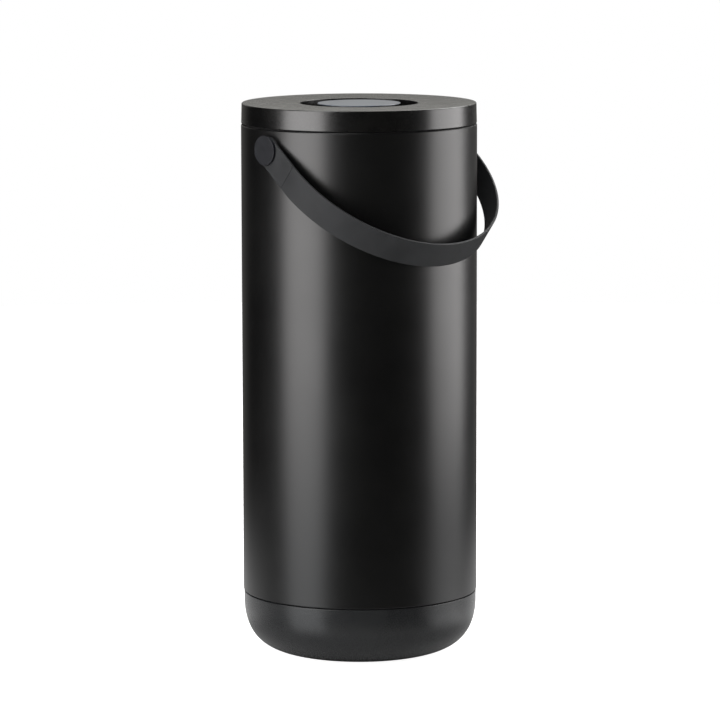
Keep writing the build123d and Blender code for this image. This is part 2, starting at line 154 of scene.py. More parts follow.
def plate(outline, bore, thickness, rounding, steps=5):
    # A flat plate with a round bore. Rows run from the bore over the top face, round the rim
    # (outline - e n + e (n cos f, sin f), e the rounding, f from 90 to -90 degrees) and back below.
    n = pathNormals(outline)
    e = np.broadcast_to(rounding, len(outline))[None, :, None]
    f = np.linspace(pi / 2, 0, steps + 1)[:, None, None]
    f = np.concatenate([f, -f[::-1]])
    rim = outline[None] - e * n[None] * (1 - np.cos(f))
    level = np.where(f > 0, thickness - e, e) + e * np.sin(f)
    level[steps] = thickness - e[0]
    level[steps + 1] = e[0]
    spoke = outline / np.linalg.norm(outline, axis=1, keepdims=True) * bore
    rows = np.concatenate([spoke[None], rim, spoke[None]])
    row = np.ones((1, len(outline), 1))
    heights = np.concatenate([thickness * row, level, 0 * row])
    facing = np.concatenate([n[None] * np.cos(f), np.sin(f) + 0 * e], -1)
    up = row * (0, 0, 1)
    return np.concatenate([rows, heights], -1), np.concatenate([up, facing, -up])


def putPiece(name, grid, normals, closed, material, body, node, slotName):
    # Grid (rows, columns, 3) in mm closes round its columns. Its rows close too, or else end in
    # a pole each.
    rows, columns = grid.shape[:2]
    if closed:
        points, facing = grid.reshape(-1, 3), normals.reshape(-1, 3)
        index = np.arange(rows * columns).reshape(rows, columns)
        low, high = index, np.roll(index, -1, 0)
        fans = []
    else:
        points = np.vstack([grid[:1, 0], grid[1:-1].reshape(-1, 3), grid[-1:, 0]])
        facing = np.vstack([normals[:1, 0], normals[1:-1].reshape(-1, 3), normals[-1:, 0]])
        index = 1 + np.arange((rows - 2) * columns).reshape(rows - 2, columns)
        low, high = index[:-1], index[1:]
        first, last = np.zeros(columns, int), np.full(columns, len(points) - 1)
        fans = np.stack([first, np.roll(index[0], -1), index[0]], 1).tolist()
        fans += np.stack([index[-1], np.roll(index[-1], -1), last], 1).tolist()
    quads = np.stack([low, np.roll(low, -1, 1), np.roll(high, -1, 1), high], -1).reshape(-1, 4)
    triangles = [points[quads[:, [0, 1, 2]]], points[quads[:, [0, 2, 3]]]]
    if fans:
        triangles.append(points[np.array(fans)])
    # six times the volume is the sum of p0 . (p1 x p2). A negative one means that faces look inwards
    if np.linalg.det(np.concatenate(triangles)).sum() < 0:
        quads, fans = quads[:, ::-1], [fan[::-1] for fan in fans]
    mesh = bpy.data.meshes.new(name)
    mesh.from_pydata((points * mm).tolist(), [], quads.tolist() + fans)
    mesh.update()
    mesh.polygons.foreach_set("use_smooth", np.ones(len(mesh.polygons), bool))
    mesh.normals_split_custom_set_from_vertices(facing.tolist())
    mesh.materials.append(material)
    piece = bpy.data.objects.new(name, mesh)
    bpy.context.scene.collection.objects.link(piece)
    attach(piece, body)
    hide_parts(node)


def mixColour(tree, factor, dark, light):
    mix = tree.nodes.new("ShaderNodeMix")
    mix.data_type = "RGBA"
    mix.inputs["A"].default_value = (*dark, 1)
    mix.inputs["B"].default_value = (*light, 1)
    tree.links.new(factor, mix.inputs["Factor"])
    return mix.outputs["Result"]


def noise(tree, place, size, detail=2.0, roughness=0.5):
    # size is the width of one blotch in mm
    node = tree.nodes.new("ShaderNodeTexNoise")
    node.inputs["Scale"].default_value = 1 / (size * mm)
    node.inputs["Detail"].default_value = detail
    node.inputs["Roughness"].default_value = roughness
    tree.links.new(place, node.inputs["Vector"])
    return node.outputs["Fac"]


def spread(tree, value, low, high, within=(0.3, 0.7)):
    # Nearly all of a noise lies within 0.3 and 0.7
    node = tree.nodes.new("ShaderNodeMapRange")
    node.inputs["From Min"].default_value = within[0]
    node.inputs["From Max"].default_value = within[1]
    node.inputs["To Min"].default_value = low
    node.inputs["To Max"].default_value = high
    tree.links.new(value, node.inputs["Value"])
    return node.outputs["Result"]


def ramp(tree, value, low, high):
    # 0 below low, 1 above high, smooth between
    node = tree.nodes.new("ShaderNodeMapRange")
    node.interpolation_type = "SMOOTHSTEP"
    node.inputs["From Min"].default_value = low
    node.inputs["From Max"].default_value = high
    tree.links.new(value, node.inputs["Value"])
    return node.outputs["Result"]


def sums(tree, operation, a, b):
    node = tree.nodes.new("ShaderNodeMath")
    node.operation = operation
    for socket, value in zip(node.inputs, (a, b)):
        if isinstance(value, (int, float)):
            socket.default_value = value
        else:
            tree.links.new(value, socket)
    return node.outputs[0]


def bump(tree, height, distance, normal=None):
    node = tree.nodes.new("ShaderNodeBump")
    node.inputs["Strength"].default_value = 1.0
    node.inputs["Distance"].default_value = distance * mm
    tree.links.new(height, node.inputs["Height"])
    if normal:
        tree.links.new(normal, node.inputs["Normal"])
    return node.outputs["Normal"]


def finish(name, look):
    # Colour and roughness drift in clouds a few centimetres wide. Two layers of fine relief, the
    # wavy peel of a paint or a mould and its grain, tilt the normal through bump nodes.
    material = bpy.data.materials.new(name)
    material.use_nodes = True
    tree = material.node_tree
    shader = tree.nodes["Principled BSDF"]
    place = tree.nodes.new("ShaderNodeTexCoord").outputs["Object"]
    clouds = noise(tree, place, look["cloud"], detail=3.0)
    grain = noise(tree, place, look["grain"], roughness=0.6)
    peel = noise(tree, place, look["peel"], detail=1.0)
    colour = mixColour(tree, spread(tree, clouds, 0, 1), look["dark"], look["light"])
    tree.links.new(colour, shader.inputs["Base Color"])
    speckle = spread(tree, grain, -look["roughGrain"], look["roughGrain"])
    roughness = sums(tree, "ADD", spread(tree, clouds, *look["roughness"]), speckle)
    tree.links.new(roughness, shader.inputs["Roughness"])
    normal = bump(tree, grain, look["grainHeight"], bump(tree, peel, look["peelHeight"]))
    tree.links.new(normal, shader.inputs["Normal"])
    shader.inputs["Specular IOR Level"].default_value = look.get("specular", 0.5)
    shader.inputs["Metallic"].default_value = look.get("metal", 0.0)
    return material


# Tube: sheet steel with both edges turned in, satin powder paint
tube = {
    "radius": 125.0,
    "wall": 1.0,
    "hem": 3.6,
    "low": 67.2,
    "high": 566.2,
    "outerBend": 1.2,
    "innerBend": 0.2,
    "edge": 0.12,
    # snap beads that hold the base and the collar to the tube's edges
    "beadLand": 1.0,
    "beadRamp": 1.6,
}
paint = finish("canPaint", {
    "dark": (0.0008, 0.0008, 0.0009),
    "light": (0.0014, 0.0014, 0.0014),
    "roughness": (0.32, 0.355),
    "roughGrain": 0.012,
    "cloud": 70,
    "peel": 1.6,
    "peelHeight": 0.0030,
    "grain": 0.35,
    "grainHeight": 0.0012,
})
inner, hem = tube["radius"] - tube["wall"], tube["radius"] - tube["hem"]
tubeProfile = roundedPath([
    (hem, tube["low"], tube["edge"]),
    (tube["radius"], tube["low"], tube["outerBend"]),
    (tube["radius"], tube["high"], tube["outerBend"]),
    (hem, tube["high"], tube["edge"]),
    (hem, tube["high"] - tube["wall"], tube["edge"]),
    (inner, tube["high"] - tube["wall"], tube["innerBend"]),
    (inner, tube["low"] + tube["wall"], tube["innerBend"]),
    (hem, tube["low"] + tube["wall"], tube["edge"]),
])
putPiece("bodyTube", *turned(tubeProfile), True, paint, "can", "body_shell", "can_paint")

# Base: its outer and inner walls swing in along one cubic curve each
base = {
    "radius": 124.4,
    "flat": 63.6,
    "wall": 3.0,
    "seam": 67.2,
    "gap": 1.3,
    "coneRadius": 122.4,
    "cornerTop": 58.4,
    "underside": 0.8,
    "fullness": 0.679,
    "recess": 60.1,
    "recessTop": 2.2,
    "neck": 121.3,
    "bead": 122.5,
    "spigot": 119.0,
    "spigotTop": 76.2,
    "slots": 12,
    "slotWidth": 7.0,
    "slotFlank": 0.4,
    "slotDepth": 0.99,  # share of the spigot's height
    "edge": 0.5,
}
basePlastic = finish("basePlastic", {
    "dark": (0.0054, 0.0057, 0.0062),
    "light": (0.0078, 0.0082, 0.0087),
    "roughness": (0.25, 0.30),
    "roughGrain": 0.03,
    "cloud": 60,
    "peel": 2.4,
    "peelHeight": 0.004,
    "grain": 0.5,
    "grainHeight": 0.006,
})


def bezier(a, b, c, d, steps):
    # (1-t)^3 a + 3 t (1-t)^2 b + 3 t^2 (1-t) c + t^3 d
    t = np.linspace(0, 1, steps + 1)[:, None]
    a, b, c, d = (np.array(v, float) for v in (a, b, c, d))
    return (1 - t) ** 3 * a + 3 * t * (1 - t) ** 2 * b + 3 * t**2 * (1 - t) * c + t**3 * d


def cupCurve(radius, level, top, fullness, steps=56):
    # From the flat bottom out and up to the wall, square to both
    return bezier(
        (base["flat"], level),
        (base["flat"] + fullness * (radius - base["flat"]), level),
        (radius, top - fullness * (top - level)),
        (radius, top),
        steps,
    )


cupIn, floorTop = base["radius"] - base["wall"], base["underside"] + base["wall"]
clip = base["seam"] + tube["wall"] + play
root = base["seam"] - base["wall"]
outside = cupCurve(base["radius"], base["underside"], base["cornerTop"], base["fullness"])
inside = cupCurve(cupIn, floorTop, base["cornerTop"], base["fullness"])[::-1]
belowCup = roundedPath([
    (0, base["recessTop"], 0),
    (base["recess"], base["recessTop"], fineEdge),
    (base["recess"], base["underside"], smallEdge),
    (base["flat"], base["underside"], 0),
], closed=False)[:-1]
neckPath = roundedPath([
    (base["radius"], base["cornerTop"], 0),
    (base["radius"], base["seam"] - base["gap"], base["edge"]),
    (base["coneRadius"], base["seam"], sharpEdge),
    (base["neck"], base["seam"], sharpEdge),
    (base["neck"], clip, sharpEdge),
    (base["bead"], clip, fineEdge),
    (base["bead"], clip + tube["beadLand"], fineEdge),
    (base["neck"], clip + tube["beadLand"] + tube["beadRamp"], fineEdge),
    (base["neck"], base["spigotTop"], softEdge),
    (base["spigot"], base["spigotTop"], softEdge),
    (base["spigot"], root, softEdge),
    (cupIn, root - (cupIn - base["spigot"]), softEdge),
    (cupIn, base["cornerTop"], 0),
], closed=False)[1:-1]
cupProfile = np.vstack([belowCup, outside, neckPath, inside, [(0, floorTop)]])
cupGrid, cupNormals = turned(cupProfile, closed=False, count=432)
# Between the snap fingers the spigot's height sinks to the seam: z = seam + (z - seam) * finger(a)
angle = np.arctan2(cupGrid[..., 1], cupGrid[..., 0])
pitchAngle = 2 * pi / base["slots"]
fromSlot = np.abs((angle + pitchAngle / 2) % pitchAngle - pitchAngle / 2) * base["neck"]
flank = (fromSlot - base["slotWidth"] / 2) / base["slotFlank"] + 0.5
finger = np.clip(flank, 1 - base["slotDepth"], 1)
above = np.maximum(cupGrid[..., 2] - base["seam"], 0)
cupGrid[..., 2] -= above * (1 - finger)
putPiece("baseCup", cupGrid, cupNormals, False, basePlastic, "can", "base_cup", "base_plastic")

# Rubber pad under the base, with shallow rings pressed into its sole
pad = {
    "radius": 60.0,
    "low": 0.0,
    "high": 2.2,
    "edge": 0.3,
    "rings": 9,
    "ringSteps": 20,
    "ringDepth": 0.25,
    "ringSharpness": 8,
    "ringInner": 12.0,
    "ringOuter": 55.0,
}
rubber = finish("padRubber", {
    "dark": (0.014, 0.014, 0.014),
    "light": (0.022, 0.022, 0.022),
    "roughness": (0.68, 0.8),
    "roughGrain": 0.04,
    "cloud": 25,
    "peel": 2.0,
    "peelHeight": 0.01,
    "grain": 0.4,
    "grainHeight": 0.012,
})
padEdge = roundedPath([
    (0, pad["low"], 0),
    (pad["radius"], pad["low"], pad["edge"]),
    (pad["radius"], pad["high"], pad["edge"] / 2),
    (0, pad["high"], 0),
], closed=False)
share = np.linspace(0, 1, pad["rings"] * pad["ringSteps"] + 1)
wave = np.sin(pi * pad["rings"] * share) ** pad["ringSharpness"]  # one narrow wave for each ring
ringRadius = pad["ringInner"] + (pad["ringOuter"] - pad["ringInner"]) * share
sole = np.stack([ringRadius, pad["low"] + pad["ringDepth"] * wave], 1)
padProfile = np.vstack([padEdge[:1], sole, padEdge[1:]])
padGrid, padNormals = turned(padProfile, closed=False, count=192)
putPiece("footPad", padGrid, padNormals, False, rubber, "can", "foot_pad", "seal_rubber")
print("tube, base and pad are in")

# Collar in the tube's mouth
collar = {
    "inner": 119.3,
    "lip": 122.8,
    "lipTop": 121.6,
    "top": 567.5,
    "neck": 121.3,
    "bead": 122.5,
    "ledge": 557.0,
    "low": 116.1,
    "bottom": 527.5,
    "wall": 2.0,
    "edge": 0.6,
}
collarPlastic = finish("collarPlastic", {
    "dark": (0.0060, 0.0060, 0.0063),
    "light": (0.0085, 0.0085, 0.0088),
    "roughness": (0.58, 0.68),
    "roughGrain": 0.03,
    "cloud": 40,
    "peel": 2.0,
    "peelHeight": 0.004,
    "grain": 0.45,
    "grainHeight": 0.006,
})
beadTop = tube["high"] - tube["wall"] - play
lowOut, ledgeUnder = collar["low"] + collar["wall"], collar["ledge"] - collar["wall"]
collarProfile = roundedPath([
    (collar["inner"], collar["top"], collar["edge"]),
    (collar["inner"], collar["ledge"], softEdge),
    (collar["low"], collar["ledge"], collar["edge"]),
    (collar["low"], collar["bottom"], collar["edge"]),
    (lowOut, collar["bottom"], softEdge),
    (lowOut, ledgeUnder, softEdge),
    (collar["neck"], ledgeUnder, softEdge),
    (collar["neck"], beadTop - tube["beadLand"] - tube["beadRamp"], fineEdge),
    (collar["bead"], beadTop - tube["beadLand"], fineEdge),
    (collar["bead"], beadTop, fineEdge),
    (collar["neck"], beadTop, sharpEdge),
    (collar["neck"], tube["high"], sharpEdge),
    (collar["lip"], tube["high"], sharpEdge),
    (collar["lipTop"], collar["top"], smallEdge),
])
mouth, mouthNormals = turned(collarProfile)
putPiece("rimCollar", mouth, mouthNormals, True, collarPlastic, "can", "rim_collar", "collar_plastic")

# Lid: short skirt and a sunk round well
lid = {
    "radius": 124.3,
    "draft": 0.5,
    "top": 589.0,
    "innerTop": 588.4,  # at the well and on the knob
    "bottom": 567.8,
    "wall": 2.2,
    "skirt": 2.5,
    "rim": 1.3,
    "lowRim": 0.3,
    "well": 62.6,
    "wellFloor": 569.0,
    "wellRound": 3.0,
    "wellEdge": 0.5,
}
lidPlastic = finish("lidPlastic", {
    "dark": (0.0008, 0.0008, 0.0009),
    "light": (0.0016, 0.0015, 0.0014),
    "roughness": (0.25, 0.285),
    "specular": 0.62,
    "roughGrain": 0.012,
    "cloud": 45,
    "peel": 2.2,
    "peelHeight": 0.002,
    "grain": 0.4,
    "grainHeight": 0.001,
})
lidIn, lidUnder = lid["radius"] - lid["skirt"], lid["innerTop"] - lid["wall"]
wellOut, wellUnder = lid["well"] + lid["wall"], lid["wellFloor"] - lid["wall"]
lidProfile = roundedPath([
    (0, wellUnder, 0),
    (wellOut, wellUnder, lid["wellRound"] + lid["wall"]),
    (wellOut, lidUnder, softEdge),
    (lidIn, lidUnder, softEdge),
    (lidIn, lid["bottom"], smallEdge),
    (lid["radius"] + lid["draft"], lid["bottom"], lid["lowRim"]),
    (lid["radius"], lid["top"], lid["rim"]),
    (lid["well"], lid["innerTop"], lid["wellEdge"]),
    (lid["well"], lid["wellFloor"], lid["wellRound"]),
    (0, lid["wellFloor"], 0),
], closed=False, steps=8)
lidGrid, lidNormals = turned(lidProfile, closed=False, count=320)
putPiece("lidTop", lidGrid, lidNormals, False, lidPlastic, "lid", "lid_top", "lid_plastic")

# Knob in the well, a satin disc let into its top whose lip covers the knob's rim
knob = {"radius": 44.0, "wall": 2.5, "rim": 1.3}
disc = {"neck": 42.6, "thickness": 1.6, "lip": 0.9, "edge": 0.7}
pocketFloor, pocket = lid["innerTop"] - disc["thickness"], knob["radius"] - knob["rim"]
ceiling, rimTop = pocketFloor - knob["wall"], lid["innerTop"] - disc["lip"]
knobProfile = roundedPath([
    (0, ceiling, 0),
    (knob["radius"] - knob["wall"], ceiling, softEdge),
    (knob["radius"] - knob["wall"], lid["wellFloor"], smallEdge),
    (knob["radius"], lid["wellFloor"], smallEdge),
    (knob["radius"], rimTop, sharpEdge),
    (pocket, rimTop, sharpEdge),
    (pocket, pocketFloor, sharpEdge),
    (0, pocketFloor, 0),
], closed=False)
knobGrid, knobNormals = turned(knobProfile, closed=False, count=240)
putPiece("lidKnob", knobGrid, knobNormals, False, lidPlastic, "lid", "lid_knob", "lid_plastic")
satin = finish("satinDisc", {
    "dark": (0.050, 0.059, 0.074),
    "light": (0.060, 0.070, 0.087),
    "roughness": (0.30, 0.36),
    "roughGrain": 0.03,
    "cloud": 30,
    "peel": 1.2,
    "peelHeight": 0.002,
    "grain": 0.3,
    "grainHeight": 0.002,
})
discProfile = roundedPath([
    (0, pocketFloor, 0),
    (disc["neck"], pocketFloor, sharpEdge),
    (disc["neck"], rimTop, sharpEdge / 2),
    (knob["radius"], rimTop, sharpEdge),
    (knob["radius"], lid["innerTop"], disc["edge"]),
    (0, lid["innerTop"], 0),
], closed=False)
discGrid, discNormals = turned(discProfile, closed=False, count=240)
putPiece("knobDisc", discGrid, discNormals, False, satin, "lid", "knob_disc", "disc_plastic")

# Cover with its plug, and the seal round it
cover = {
    "plug": 117.3,
    "bottom": 560.0,
    "flange": 121.7,
    "flangeTop": 569.8,
    "wall": 3.4,
    "floor": 2.0,
    "edge": 0.8,
}
seal = {"outer": 119.0, "inner": 115.9, "low": 562.7, "high": 565.1, "round": 0.85}
plugIn, plugFloor = cover["plug"] - cover["wall"], cover["bottom"] + cover["floor"]
coverProfile = roundedPath([
    (0, cover["bottom"], 0),
    (cover["plug"], cover["bottom"], cover["edge"]),
    (cover["plug"], seal["low"], sharpEdge),
    (seal["inner"], seal["low"], sharpEdge),
    (seal["inner"], seal["high"], sharpEdge),
    (cover["plug"], seal["high"], sharpEdge),
    (cover["plug"], lid["bottom"], smallEdge),
    (cover["flange"], lid["bottom"], smallEdge),
    (cover["flange"], cover["flangeTop"], smallEdge),
    (plugIn, cover["flangeTop"], smallEdge),
    (plugIn, plugFloor, softEdge),
    (0, plugFloor, 0),
], closed=False)
under, underNormals = turned(coverProfile, closed=False)
putPiece("lidCover", under, underNormals, False, collarPlastic, "lid", "lid_cover", "collar_plastic")
sealProfile = roundedPath([
    (seal["inner"] + play, seal["low"] + play, sharpEdge),
    (seal["outer"], seal["low"] + play, seal["round"]),
    (seal["outer"], seal["high"] - play, seal["round"]),
    (seal["inner"] + play, seal["high"] - play, sharpEdge),
])
putPiece("lidSeal", *turned(sealProfile), True, rubber, "lid", "lid_seal", "seal_rubber")
print("collar and lid are in")

# Pins that the strap swings on, and the spacers that hold it off the tube
pivot = {
    "z": 545.5,
    "head": 15.6,
    "seat": 130.6,
    "face": 133.2,
    "headEdge": 0.6,
    "mark": 0.9,
    "markFloor": 0.72,
    "markDepth": 0.3,
    "markEdges": (0.12, 0.08),
    "journal": 8.0,
    "shank": 4.0,
    "shankEnd": 122.2,
    "pilot": 2.1,
    "pilotDepth": 9.5,
}
spacer = {"radius": 14.0, "bore": 4.1, "face": 127.6, "edge": 0.3, "blank": 5.0}
pinPaint = finish("pinPaint", {
    "dark": (0.0024, 0.0027, 0.0042),
    "light": (0.0040, 0.0044, 0.0062),
    "roughness": (0.46, 0.52),
    "specular": 0.31,
    "roughGrain": 0.03,
    "cloud": 9,
    "peel": 1.4,
    "peelHeight": 0.004,
    "grain": 0.35,
    "grainHeight": 0.003,
})
pilotEnd, markLevel = pivot["shankEnd"] + pivot["pilotDepth"], pivot["face"] - pivot["markDepth"]
pinProfile = roundedPath([
    (0, pilotEnd, 0),
    (pivot["pilot"], pilotEnd, sharpEdge),
    (pivot["pilot"], pivot["shankEnd"], smallEdge),
    (pivot["shank"], pivot["shankEnd"], smallEdge),
    (pivot["shank"], spacer["face"], sharpEdge),
    (pivot["journal"], spacer["face"], smallEdge),
    (pivot["journal"], pivot["seat"], sharpEdge),
    (pivot["head"], pivot["seat"], smallEdge),
    (pivot["head"], pivot["face"], pivot["headEdge"]),
    (pivot["mark"], pivot["face"], pivot["markEdges"][0]),
    (pivot["markFloor"], markLevel, pivot["markEdges"][1]),
    (0, markLevel, 0),
], closed=False)
spacerProfile = roundedPath([
    (spacer["bore"], spacer["face"] - spacer["blank"], sharpEdge),
    (spacer["radius"], spacer["face"] - spacer["blank"], sharpEdge),
    (spacer["radius"], spacer["face"], spacer["edge"]),
    (spacer["bore"], spacer["face"], sharpEdge),
])
pinGrid, pinNormals = turned(pinProfile, closed=False, count=128)
spacerGrid, spacerNormals = turned(spacerProfile, count=128)
# the spacer's inner side follows the tube: h = sqrt(radius^2 - y^2)
innerSide = spacerGrid[..., 2] < spacer["face"] - spacer["blank"] / 2
onTube = np.sqrt(tube["radius"] ** 2 - spacerGrid[..., 0] ** 2)
spacerGrid[..., 2] = np.where(innerSide, onTube, spacerGrid[..., 2])
for side, word in ((1, "right"), (-1, "left")):
    spots, leans = sideways(pinGrid, side, pivot["z"]), sideways(pinNormals, side, 0)
    putPiece(word + "PivotPin", spots, leans, False, pinPaint, "can", word + "_pivot_pin", "pin_metal")
    spots, leans = sideways(spacerGrid, side, pivot["z"]), sideways(spacerNormals, side, 0)
    putPiece(
        word + "PinSpacer", spots, leans, True,
        collarPlastic, "can", word + "_pin_spacer", "collar_plastic",
    )

# Strap: a band bent round the tube between two stiff ends with an eye
strap = {
    "inner": 127.9,
    "outer": 130.3,
    "width": 31.0,
    "eye": 15.2,
    "bore": 8.1,
    "leg": 44.2,
    "endLength": 42.0,
    "edge": 0.45,
    "endCorner": 0.5,
    "joint": 0.8,
    "jointSteps": 4,
    "bendSteps": 240,
    "eyeSteps": 72,
    "droop": 38.374,  # degrees below the horizontal
}
strapPlastic = finish("strapPlastic", {
    "dark": (0.0132, 0.0136, 0.0144),
    "light": (0.0172, 0.0178, 0.0188),
    "roughness": (0.52, 0.6),
    "specular": 0.17,
    "roughGrain": 0.03,
    "cloud": 22,
    "peel": 1.8,
    "peelHeight": 0.004,
    "grain": 0.4,
    "grainHeight": 0.005,
})
droop = radians(strap["droop"])
strapAxes = np.array([(1, 0, 0), (0, -cos(droop), -sin(droop)), (0, sin(droop), -cos(droop))])
middle, thick = (strap["inner"] + strap["outer"]) / 2, strap["outer"] - strap["inner"]


def strapPlace(v, lift=pivot["z"]):
    # (across the can, out from the pins, down the strap's width) to the frame's x, y, z
    return v @ strapAxes + (0, 0, lift)


# Section (outwards, widthways) carried along leg, half circle and leg:
# p = path + outwards * n + widthways * w. At both ends it draws in by e (1 - cos f) while it goes
# e (1 - sin f) back, which rounds the ends' edges.
half = strap["width"] / 2
section = roundedPath([
    (-thick / 2, -half, strap["edge"]),
    (thick / 2, -half, strap["edge"]),
    (thick / 2, half, strap["edge"]),
    (-thick / 2, half, strap["edge"]),
])
facing = pathNormals(section)
f = np.linspace(pi / 2, 0, strap["jointSteps"] + 1)
bend = np.linspace(0, pi, strap["bendSteps"] + 1)
straight = np.ones(len(f))
legEnd = strap["endLength"] + strap["joint"] * (1 - np.sin(f))
draw = strap["joint"] * (1 - np.cos(f))
out = np.concatenate([straight, np.cos(bend), -straight])
ahead = np.concatenate([0 * straight, np.sin(bend), 0 * straight])
down = np.concatenate([legEnd, strap["leg"] + middle * np.sin(bend), legEnd[::-1]])
draw = np.concatenate([draw, 0 * bend, draw[::-1]])[:, None]
tilt = np.concatenate([f, 0 * bend, f[::-1]])[:, None]
profile = section[None] - draw[..., None] * facing[None]
bandGrid = np.stack([
    (middle * out)[:, None] + profile[..., 0] * out[:, None],
    down[:, None] + profile[..., 0] * ahead[:, None],
    profile[..., 1],
], -1)
bandNormals = np.stack([
    facing[None, :, 0] * out[:, None] * np.cos(tilt),
    facing[None, :, 0] * ahead[:, None] * np.cos(tilt) - np.sin(tilt),
    facing[None, :, 1] * np.cos(tilt) + 0 * out[:, None],
], -1)
row = np.ones((1, len(section), 1))
rightPole, leftPole = row * (middle, strap["endLength"], 0), row * (-middle, strap["endLength"], 0)
back = row * (0, -1, 0)
spots = strapPlace(np.concatenate([rightPole, bandGrid, leftPole]))
leans = strapPlace(np.concatenate([back, bandNormals, back]), 0)
putPiece("strapBand", spots, leans, False, strapPlastic, "strap", "strap_band", "strap_plastic")

# Stiff ends: half a circle round the pin, then nearly straight to the band's width. Of the rounded
# outline only the two far corners' arcs are used, each of arcPoints points.
eyeTurn = np.linspace(pi / 2, 3 * pi / 2, strap["eyeSteps"] + 1)
eyeArc = strap["eye"] * np.stack([np.cos(eyeTurn), np.sin(eyeTurn)], 1)
endCorners = roundedPath([
    (0, -strap["eye"], 0),
    (strap["endLength"], -half, strap["endCorner"]),
    (strap["endLength"], half, strap["endCorner"]),
    (0, strap["eye"], 0),
])
arcPoints = len(endCorners) // 4
endOutline = np.vstack([eyeArc, endCorners[arcPoints:-arcPoints]])
toJoint = np.linspace(strap["edge"], strap["joint"], arcPoints)
endRounding = np.concatenate([np.full(len(eyeArc), strap["edge"]), toJoint, toJoint[::-1]])
endGrid, endNormals = plate(endOutline, strap["bore"], thick, endRounding)
for side, word in ((1, "right"), (-1, "left")):
    outwards = side * (strap["inner"] + endGrid[..., 2])
    spots = strapPlace(np.stack([outwards, endGrid[..., 0], endGrid[..., 1]], -1))
    leans = np.stack([side * endNormals[..., 2], endNormals[..., 0], endNormals[..., 1]], -1)
    putPiece(
        word + "StrapEnd", spots, strapPlace(leans, 0), True,
        strapPlastic, "strap", word + "_strap_end", "strap_plastic",
    )
print("pins and strap are in")

# Solids of the frame that keep their shape and only get a finish
zinc = finish("zincSteel", {
    "dark": (0.50, 0.51, 0.53),
    "light": (0.60, 0.61, 0.62),
    "roughness": (0.30, 0.42),
    "roughGrain": 0.05,
    "cloud": 5,
    "peel": 0.8,
    "peelHeight": 0.003,
    "grain": 0.2,
    "grainHeight": 0.003,
    "metal": 1.0,
})
kept = {
    "bag_ring": collarPlastic,
    "knob_screws": zinc,
    "cover_screws": zinc,
    "left_backing_plate": zinc,
    "right_backing_plate": zinc,
    "left_pin_screw": zinc,
    "right_pin_screw": zinc,
}
for node, look in kept.items():
    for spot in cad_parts[node].material_slots:
        spot.material = look

# Studio, in metres. Bearings are degrees to the right of the camera, seen from the can, where the
# picture's right is +. A pair of limits runs from where its ramp is 0 to where it is 1.
studio = {
    "floor": {"radius": 3.0, "sides": 128, "drop": 0.0002, "grey": 0.6, "glow": 0.97},
    # the paper as the can mirrors it, a painted reflection that only glossy rays see: painted shadow
    # under the can (none), painted shade near it (dim), brighter behind, then gone
    "paper": {
        "under": (0.08, 0.121),
        "near": 0.43,
        "back": 0.78,
        "turns": (0.145, 0.235),
        "fades": (0.20, 0.62),
        "beside": (0.6, -0.3),
        "reach": 0.4,
    },
    # a painted pool of light on the paper, seen only in reflections
    "paintedPool": {
        "starts": (0.15, 0.26),
        "ends": (0.66, 0.36),
        "ahead": 0.08,
        "right": 0.8,
        "bearing": 76,
        "aside": (0.9, 0.98),
    },
    # both boxes stand from low to high. Their widths, levels and tints are those above split and below
    "boxes": {"distance": 1.25, "low": -1.35, "split": 0.06, "high": 1.1},
    "leftBox": {"bearing": -53.4, "widths": (0.95, 0.82), "levels": (6.0, 1.75)},
    "rightBox": {"bearing": 94, "widths": (1.05, 0.8), "levels": (4.7, 0.64)},
    "tints": ((1.0, 0.98, 0.975), (0.95, 0.98, 1.0)),
    # bearing, distance, height, height of the aim, width, height of the panel, level. Only edges
    # reflect the two edge lamps: the strap's upper edge, the pin's and the disc's rim
    "lamps": {
        "topBox": (180, 1.5, 1.9, 0.5, 1.8, 1.0, 2.5),
        "cardBehind": (180, 0.5, 0.81, 0.81, 1.3, 0.28, 0.42),
        "edgeBack": (138, 1.7, 2.0, 0.5, 1.3, 1.0, 6.0),
        "edgeLeft": (-48, 1.2, 2.2, 0.5, 1.0, 0.9, 9.0),
        "fillBox": (2, 1.6, 1.9, 0.4, 1.4, 1.0, 13.0),
    },
    "warm": (1.0, 0.985, 0.935),  # of what stands behind the can
    # the room by cosines: to the camera's bearing (behind, ahead) and straight up (below)
    "room": {
        "level": 0.015,
        "behindLevel": 0.18,
        "behind": (-0.68, -0.95),
        "belowLevel": 0.24,
        "ahead": (-0.1, 0.5),
        "below": (-0.25, -0.5),
    },
    # degrees from straight behind the can, and cosines to straight up
    "window": {"level": 0.03, "azimuth": (20, 8), "low": (-0.02, 0.05), "high": (0.6, 0.35)},
}


def bearing(degrees):
    # unit vector on the floor from the can
    b = turn - radians(90) + radians(degrees)
    return np.array([cos(b), sin(b)])


def lamp(name, degrees, distance, height, aim, width, tall, level):
    # An area lamp of one radiance that looks at the can's axis: power = pi * area * level
    data = bpy.data.lights.new(name, "AREA")
    data.shape = "RECTANGLE"
    data.size, data.size_y = width, tall
    data.energy = pi * width * tall * level
    place = np.array([*(bearing(degrees) * distance), height])
    ray = place - (0, 0, aim)
    ray /= np.linalg.norm(ray)
    side = np.cross((0, 0, 1), ray)
    side /= np.linalg.norm(side)
    axes = np.stack([side, np.cross(ray, side), ray], 1)
    thing = bpy.data.objects.new(name, data)
    thing.matrix_world = Matrix.Translation(place.tolist()) @ Matrix(axes.tolist()).to_4x4()
    thing.visible_camera = False
    bpy.context.scene.collection.objects.link(thing)
    return thing


